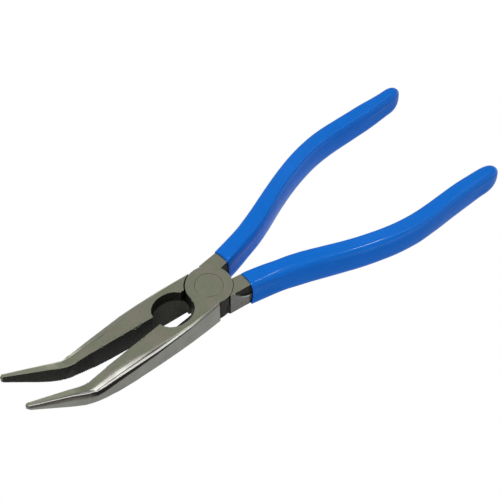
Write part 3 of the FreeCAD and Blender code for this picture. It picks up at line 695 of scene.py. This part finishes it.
    tone = g.step(g.noise(p, 0.17, 2.0, 0.5), 0.42, 0.60)
    topc = scaled(g.mix(tone, TOP, TOP_WARM), shade)
    across = g.math("DIVIDE", g.sub(y, flat), g.vmax(g.sub(ridge, flat), 0.2), clamp=True)
    # the sides take a darker colour than the tops: painted shade over the side's own grain
    side_shaded_col = scaled(SIDE_SHADED[:3], sidemix)
    col = g.mix(g.vmax(up, down), side_shaded_col, topc)
    if body == "upper":
        # a painted highlight on the top near the bend, beside the facet
        top_highlight_paint = g.mul(g.mul(g.step(g.sub(y, flat), -1.0, -0.1), g.step(x, 40.0, 50.0)), g.step(x, 60.5, 58.5))
        col = g.mix(g.mul(top_highlight_paint, g.mul(up, 0.42)), col, rgb(0.80, 0.79, 0.72))
        # the polished facet is painted brighter toward the bend and toward the ridge: painted highlight over the polish
        facet_highlight_gain = g.curve(x, [(2.9, 0.55), (12.0, 0.66), (18.0, 0.90), (26.0, 1.25), (34.0, 1.42), (48.0, 1.50), (58.0, 1.60), (64.0, 1.0)], 2.0)
        facet_highlight_gain = g.mul(facet_highlight_gain, g.add(0.50, g.mul(0.52, across)))
        col = g.mix(facet, col, scaled(POLISH_AND_HIGHLIGHT[:3], g.mul(facet_highlight_gain, g.add(1.0, g.mul(wob, 0.3)))))
    else:
        col = g.mix(facet, col, scaled(g.mix(0.6, topc, rgb(0.57, 0.58, 0.48)), g.add(1.0, g.mul(wob, 0.2))))
    streak = g.mul(g.step(lines, 0.05, 0.16), g.step(g.math("ABSOLUTE", g.add(below, 0.9)), 1.3, 0.2))
    neckc = scaled((0.104, 0.105, 0.096), g.add(1.0, g.add(g.mul(lines, 1.6), g.add(g.mul(wob, 1.2), g.mul(slow, 0.8)))))
    neckc = g.mix(g.mul(streak, 0.45), neckc, rgb(0.30, 0.30, 0.28))
    # painted glints: bright streaks on the polished neck side
    glint = g.mul(g.step(g.math("ABSOLUTE", g.add(below, g.add(0.42, g.mul(wob, 0.8)))), 0.30, 0.10), g.mul(g.step(x, -7.6, -8.8), g.step(lines, -0.10, 0.02)))
    glint_fan = g.mul(g.step(g.math("ABSOLUTE", g.sub(g.add(z, g.mul(0.42, g.add(x, 6.4))), g.add(7.9, g.mul(wob, 1.2)))), 0.28, 0.08), g.mul(g.step(x, -6.8, -7.6), g.step(x, -11.6, -10.4)))
    neckc = g.mix(g.mul(g.vmax(glint, g.mul(glint_fan, 0.8)), 0.85), neckc, rgb(0.50, 0.50, 0.47))
    col = g.mix(g.mul(neck, g.step(z, 10.76, 10.62)), col, neckc)
    col = g.mix(g.mul(lip_dark_patch, 0.85), col, scaled((0.040, 0.026, 0.022), g.add(1.0, g.mul(wob, 1.5))))
    nick = g.mul(g.mul(neck, g.step(x, -4.8, -5.2)), g.mul(g.step(x, -9.4, -8.4), g.step(g.math("ABSOLUTE", g.sub(z, g.add(10.42, g.mul(wob, 1.3)))), 0.30, 0.12)))
    col = g.mix(bandm, col, g.mix(nose, scaled(BAND_COL[:3], g.add(1.0, wob)), scaled(BROWN[:3], g.add(1.0, g.mul(wob, 0.9)))))
    if body == "upper":
        # painted dark reflection line, then the painted highlight line
        col = g.mix(g.mul(crest_dark_reflection, g.mul(g.step(x, 18, 26), g.step(x, 58.5, 57.0))), col, rgb(0.14, 0.13, 0.10))
        col = g.mix(crest_highlight, col, rgb(0.95, 0.95, 0.92))
    else:
        # a faint painted highlight line on the lower jaw's crest
        crest_highlight = g.mul(crest_highlight, 0.12)
        col = g.mix(crest_highlight, col, rgb(0.80, 0.80, 0.76))
    # the scale colour, also used as painted shade on the step wall
    scale_and_shade_col = g.mix(g.add(0.5, g.mul(wob, 1.4)), OXIDE, OXIDE_SOFT)
    # the scale's tone is raised toward the joint and the nose, deep in the lower jaw and most in the oval: painted
    # light over its own tone
    scale_tone_and_lift = g.fmix(g.step(x, 52.0, 64.0), g.fmix(g.step(x, 3.2, 9.0), 0.75, 0.48), 1.25)
    scale_tone_and_lift = g.mul(scale_tone_and_lift, g.fmix(g.mul(g.step(x, 20.0, 30.0), g.step(d, 3.0, 9.0)), 1.0, 1.3))
    scale_tone_and_lift = g.mul(scale_tone_and_lift, g.fmix(oval, 1.0, 1.9))
    dn = g.node("ShaderNodeVectorMath", scale_and_shade_col, None, operation="SCALE")
    g.put(dn.inputs["Scale"], scale_tone_and_lift)
    scale_and_shade_col = dn.outputs[0]
    # burrs and chips along the top edge of the gripping face
    rag = g.mul(g.sub(g.noise(p, 2.4, 3.0, 0.65), 0.5), 3.0)

    def blob(x0, d0, rx, rd, v=None):
        bx = g.mul(g.sub(x, x0), 1 / rx)
        bd = g.mul(g.sub(d if v is None else v, d0), 1 / rd)
        return g.step(g.add(g.add(g.mul(bx, bx), g.mul(bd, bd)), rag), 1.05, 0.75)

    if body == "lower":
        spots = [(29.9, 0.60, 0.65, 0.40), (31.3, 0.95, 0.55, 0.30), (32.3, 0.50, 0.45, 0.35), (28.9, 0.2, 0.5, 0.40), (36.6, 0.30, 0.5, 0.32), (45.2, 0.2, 0.5, 0.28)]
    else:
        spots = [(31.6, 0.25, 0.9, 0.5), (33.6, 0.2, 0.5, 0.35), (40.5, 0.2, 0.5, 0.3)]
    chip = 0.0
    for sp in spots:
        chip = g.vmax(chip, blob(*sp))
    chip = g.mul(chip, g.step(y, 0.75, 0.55))
    scale = g.mul(scale, g.sub(1.0, chip))
    col = g.mix(chip, col, scaled((0.34, 0.36, 0.30), g.add(1.0, g.mul(fine, 1.2))))
    col = g.mix(scale, col, scale_and_shade_col)
    col = g.mix(hol, col, scaled((0.018, 0.018, 0.015), g.add(1.0, g.mul(wob, 1.4))))
    col = g.mix(g.mul(nick, 0.85), col, rgb(0.46, 0.46, 0.44))
    # the cut bevel of the oval is a little lighter than its wall
    bevel = g.mul(oval, g.mul(g.step(z, 5.95, 5.75), g.step(z, 1.6, 1.9)))
    col = g.mix(bevel, col, scaled((0.060, 0.062, 0.051), g.add(1.0, g.mul(fine, 0.8))))
    # darker blunt end of the nose
    tip = g.step(x, 83.75, 84.05)
    col = g.mix(tip, col, scaled((0.17, 0.145, 0.125) if body == "upper" else (0.20, 0.20, 0.18), g.add(1.0, g.mul(fine, 1.5))))
    # at the bend: a dark blot and a painted white highlight curl
    if body == "upper":
        blot = g.mul(is_outer, blob(62.2, 0.55, 1.9, 0.65, u))
        col = g.mix(g.mul(blot, 0.85), col, rgb(0.045, 0.050, 0.045))
        curl_highlight = g.mul(is_outer, blob(61.9, -0.20, 2.5, 0.32, u))
        col = g.mix(curl_highlight, col, rgb(0.85, 0.86, 0.84))

    worn = g.node("ShaderNodeAttribute", attribute_name="worn").outputs["Fac"]
    wear = g.mul(g.step(g.add(worn, g.mul(wob, 1.2)), 1.0, 2.6), g.sub(1.0, bandm))
    col = g.mix(g.mul(wear, g.fmix(scale, 0.10, 0.05)), col, rgb(0.40, 0.40, 0.36))
    # rounded top edges turn to the bright side; there they are painted dark, a painted shade, and made rougher
    roundtop_shade = g.mul(g.step(nz, 0.97, 0.88), g.mul(g.step(nz, 0.10, 0.25), g.step(d, 0.6, 0.35)))
    roundtop_shade = g.mul(g.mul(roundtop_shade, g.sub(1.0, g.vmax(facet, crest_highlight))), g.step(x, 56.5, 54.5))
    roundtop_shade = g.mul(roundtop_shade, g.vmax(g.step(g.sub(y, flat), -0.3, -0.8), g.mul(0.5, g.step(x, 14.0, 8.0))))
    col = g.mix(roundtop_shade, col, scaled((0.13, 0.13, 0.10), shade))
    # darker where the surface is concave
    concave_dark = g.step(g.add(worn, g.mul(wob, 0.8)), -0.7, -2.2)
    col = g.mix(g.mul(concave_dark, 0.7), col, rgb(0.03, 0.028, 0.024))
    # small specks of scale left on the ground faces
    speck = g.step(g.noise(p, 1.7, 2.0, 0.45), 0.69, 0.73)
    col = g.mix(g.mul(speck, 0.30), col, rgb(0.07, 0.065, 0.055))

    dark = g.vmax(scale, g.vmax(bandm, hol))
    rough = g.add(0.33, g.add(g.mul(wob, 0.10), g.mul(fine, 0.10)))
    rough = g.fmix(facet, rough, g.add(0.25, g.mul(wob, 0.06)))
    rough = g.fmix(crest_highlight, rough, 0.22)
    rough = g.fmix(roundtop_shade, rough, 0.55)
    rough = g.fmix(dark, rough, g.add(0.52, g.mul(fine, 0.3)))
    metal = g.fmix(g.vmax(dark, crest_highlight), 1.0, 0.10)
    b1 = g.bump(g.mul(g.fmix(g.vmax(up, down), lines, cross), g.sub(1.0, g.mul(facet, 0.8))), 0.000015, 0.5)
    b2 = g.bump(g.mul(fine, g.sub(1.0, g.mul(facet, 0.8))), 0.000025, 0.3, b1)
    b3 = g.bump(g.mul(g.noise(p, 2.2, 3.0, 0.6), dark), 0.00009, 0.9, b2)
    g.surface(col, rough, b3, metallic=metal, specular=g.fmix(dark, 0.25, 0.06))
    return g.mat


def rivet_steel():
    g = Nodes("rivet_steel")
    tc = g.t.nodes.new("ShaderNodeTexCoord")
    p = g.stretch(tc.outputs["Object"], (1000.0, 1000.0, 1000.0))
    sep = g.node("ShaderNodeSeparateXYZ", p)
    x, y, z = sep.outputs[0], sep.outputs[1], sep.outputs[2]
    rr = g.math("SQRT", g.add(g.mul(x, x), g.mul(y, y)))
    wob = g.sub(g.noise(p, 0.8, 3.0, 0.55), 0.5)
    fine = g.sub(g.noise(p, 5.0, 4.0, 0.6), 0.5)
    cross = g.sub(g.noise(g.stretch(p, (2.6, 0.12, 2.6)), 2.0, 4.0, 0.65, 0.15), 0.5)
    tone = g.step(g.noise(p, 0.17, 2.0, 0.5), 0.42, 0.60)
    n = g.node("ShaderNodeVectorMath", g.mix(tone, TOP, TOP_WARM), None, operation="SCALE")
    g.put(n.inputs["Scale"], g.add(1.0, g.add(g.mul(wob, 0.16), g.mul(fine, 0.16))))
    rim = g.mul(g.step(rr, 5.00, 5.06), g.fmix(g.step(g.noise(p, 0.35, 2.0, 0.5), 0.42, 0.58), 0.35, 0.85))
    col = g.mix(rim, n.outputs[0], rgb(0.15, 0.12, 0.085))
    speck = g.step(g.noise(p, 1.7, 2.0, 0.45), 0.69, 0.73)
    col = g.mix(g.mul(speck, 0.3), col, rgb(0.07, 0.065, 0.055))
    rough = g.add(0.33, g.add(g.mul(wob, 0.10), g.mul(fine, 0.10)))
    b1 = g.bump(cross, 0.00002, 0.5)
    b2 = g.bump(fine, 0.00003, 0.35, b1)
    g.surface(col, rough, b2, metallic=1.0)
    return g.mat


def plastisol(body):
    g = Nodes("dipped_grip_" + body)
    p, nrm = half_coords(g, body)
    sep = g.node("ShaderNodeSeparateXYZ", p)
    x = sep.outputs[0]
    nsep = g.node("ShaderNodeSeparateXYZ", nrm)
    # the sleeve's flanks take a darker blue than its top: painted shade
    flank_shade = g.step(nsep.outputs[2], 0.75, 0.0)
    slow = g.sub(g.noise(p, 0.07, 2.0, 0.5), 0.5)
    wob = g.sub(g.noise(p, 0.5, 3.0, 0.5), 0.5)
    fine = g.sub(g.noise(p, 4.0, 4.0, 0.6), 0.5)
    skin = g.mix(flank_shade, rgb(0.0068, 0.166, 0.680), rgb(0.0050, 0.138, 0.600))
    n = g.node("ShaderNodeVectorMath", skin, None, operation="SCALE")
    g.put(n.inputs["Scale"], g.add(1.0, g.add(g.mul(slow, 0.22), g.add(g.mul(wob, 0.08), g.mul(fine, 0.05)))))
    lip = g.step(x, LIP - 0.25, LIP + 0.05)
    col = g.mix(g.mul(lip, 0.35), n.outputs[0], rgb(0.003, 0.12, 0.62))
    # rubbed, slightly paler skin in patches, and a few fine scuffs
    rub = g.step(g.noise(p, 0.11, 3.0, 0.6), 0.52, 0.70)
    scuff = g.mul(g.step(g.noise(g.stretch(p, (0.35, 2.4, 2.4)), 1.3, 3.0, 0.6, 0.4), 0.66, 0.72), 0.5)
    col = g.mix(g.mul(rub, 0.10), col, rgb(0.012, 0.22, 0.84))
    rough = g.add(0.115, g.add(g.mul(slow, 0.05), g.add(g.mul(wob, 0.04), g.add(g.mul(rub, 0.05), g.mul(scuff, 0.10)))))
    b1 = g.bump(g.noise(p, 0.35, 2.0, 0.5), 0.00005, 0.25)
    b2 = g.bump(fine, 0.00001, 0.20, b1)
    b3 = g.bump(scuff, 0.00002, 0.3, b2)
    # the ridges are polished by the hand where it closes on them
    held = g.curve(g.mul(x, -1.0), [(12.0, 0.6), (15.0, 0.6), (19.0, 0.34), (38.0, 0.36), (46.0, 0.7), (54.0, 1.0), (72.0, 1.0), (84.0, 0.6)], 1.0)
    g.surface(col, rough, b3, specular=g.fmix(g.step(nsep.outputs[2], 0.42, 0.12), held, 0.13), ior=1.19)
    return g.mat


def dress(ob, mat):
    ob.data.materials.clear()
    ob.data.materials.append(mat)


upper = forged_half("upper_forged_half", "upper_half", "upper")
lower = forged_half("lower_forged_half", "lower_half", "lower")
pin = rivet("flush_rivet")
upper_grip = grip("upper_dipped_grip", "upper_half_grip", "upper", 0.0, LIP, END - 0.53)
lower_grip = grip("lower_dipped_grip", "lower_half_grip", "lower", 0.0, LIP - 0.35, END - 1.74)
dress(upper, steel("upper"))
dress(lower, steel("lower"))
dress(pin, rivet_steel())
dress(upper_grip, plastisol("upper"))
dress(lower_grip, plastisol("lower"))


# ---- stage, light, camera ----------------------------------------------------
def floor():
    s = 0.75
    me = bpy.data.meshes.new("table_top")
    z = -0.00098
    me.from_pydata([(-s, -s, z), (s, -s, z), (s, s, z), (-s, s, z)], [], [(0, 1, 2, 3)])
    me.update()
    ob = new_object("table_top", me)
    mat = bpy.data.materials.new("pale_floor")
    mat.use_nodes = True
    t = mat.node_tree
    t.nodes.clear()
    out = t.nodes.new("ShaderNodeOutputMaterial")
    em = t.nodes.new("ShaderNodeEmission")
    em.inputs["Color"].default_value = (1, 1, 1, 1)
    em.inputs["Strength"].default_value = 1.0
    t.links.new(em.outputs[0], out.inputs["Surface"])
    me.materials.append(mat)
    return ob


def area(name, direction, distance, size_x, size_y, radiance, target=(0.0, 0.0, 0.006), long_axis=None):
    """A soft light seen from the target in the given direction, with the given brightness."""
    li = bpy.data.lights.new(name, "AREA")
    li.shape = "RECTANGLE"
    li.size, li.size_y = size_x, size_y
    li.energy = radiance * math.pi * size_x * size_y
    ob = bpy.data.objects.new(name, li)
    bpy.context.scene.collection.objects.link(ob)
    dv = Vector(direction).normalized()
    la = Vector(long_axis) if long_axis else Vector((0, 0, 1))
    xa = (la - dv * la.dot(dv)).normalized()
    ya = dv.cross(xa).normalized()
    m = Matrix((xa, ya, dv)).transposed().to_4x4()
    m.translation = Vector(target) + dv * distance
    ob.matrix_world = m
    return ob


floor()
key = area("key_softbox", (-0.44, 0.42, 0.79), 0.9, 0.70, 0.62, 1.15, long_axis=(-1.0, 0.0, 0.0))
top_fill = area("top_fill", (0.72, 0.08, 0.69), 0.9, 0.70, 0.70, 2.3)
fill = area("fill_softbox", (0.55, -0.80, 0.45), 0.9, 0.6, 0.5, 0.8)
# a small bright lamp, flagged off the steel, for the line of light on the dipped sleeves
lamp = area("sleeve_lamp", (-0.358, 0.02, 0.933), 0.9, 0.030, 0.068, 235.0, long_axis=(-1.0, 0.0, 0.0))
sleeves = bpy.data.collections.new("lit_sleeves")
sleeves.objects.link(upper_grip)
sleeves.objects.link(lower_grip)
lamp.light_linking.receiver_collection = sleeves

world = bpy.data.worlds.new("studio")
bpy.context.scene.world = world
world.use_nodes = True
wt = world.node_tree
wt.nodes.clear()
wout = wt.nodes.new("ShaderNodeOutputWorld")
bg = wt.nodes.new("ShaderNodeBackground")
tc = wt.nodes.new("ShaderNodeTexCoord")
dot = wt.nodes.new("ShaderNodeVectorMath")
dot.operation = "DOT_PRODUCT"
dot.inputs[1].default_value = (-0.35, -0.50, 1.0)
cr = wt.nodes.new("ShaderNodeValToRGB")
wt.links.new(tc.outputs["Generated"], dot.inputs[0])
wt.links.new(dot.outputs["Value"], cr.inputs[0])
wt.links.new(cr.outputs[0], bg.inputs["Color"])
wt.links.new(bg.outputs[0], wout.inputs["Surface"])
cr.color_ramp.interpolation = "LINEAR"
el = cr.color_ramp.elements
el[0].position, el[0].color = 0.0, (0.06, 0.06, 0.065, 1)
el[1].position, el[1].color = 1.0, (0.34, 0.34, 0.34, 1)
for pos, val in ((0.12, 0.10), (0.30, 0.26), (0.50, 0.34)):
    q = el.new(pos)
    q.color = (val, val, val, 1)
bg.inputs["Strength"].default_value = 1.0

H = 0.0054
az, elev, rl = math.radians(139.286), math.radians(52.5), math.radians(0.125)
right = Vector((math.cos(az), math.sin(az), 0))
fh = Vector((-math.sin(az), math.cos(az), 0))
up = Vector((0, 0, 1))
fw = fh * math.cos(elev) - up * math.sin(elev)
cu = fh * math.sin(elev) + up * math.cos(elev)
r = right * math.cos(rl) + cu * math.sin(rl)
u = -right * math.sin(rl) + cu * math.cos(rl)
cam = bpy.data.cameras.new("camera")
cam.sensor_width = 36
cam.lens = 36 * 1920.0 / 500
cam.clip_start, cam.clip_end = 0.01, 10
cam_ob = bpy.data.objects.new("camera", cam)
bpy.context.scene.collection.objects.link(cam_ob)
m = Matrix((r, u, -fw)).transposed().to_4x4()
m.translation = Vector((0.25257, 0.31580, 0.55242 + H))
cam_ob.matrix_world = m
bpy.context.scene.camera = cam_ob
bpy.context.scene.view_settings.view_transform = "Standard"
bpy.context.scene.view_settings.look = "None"

bpy.context.view_layer.update()
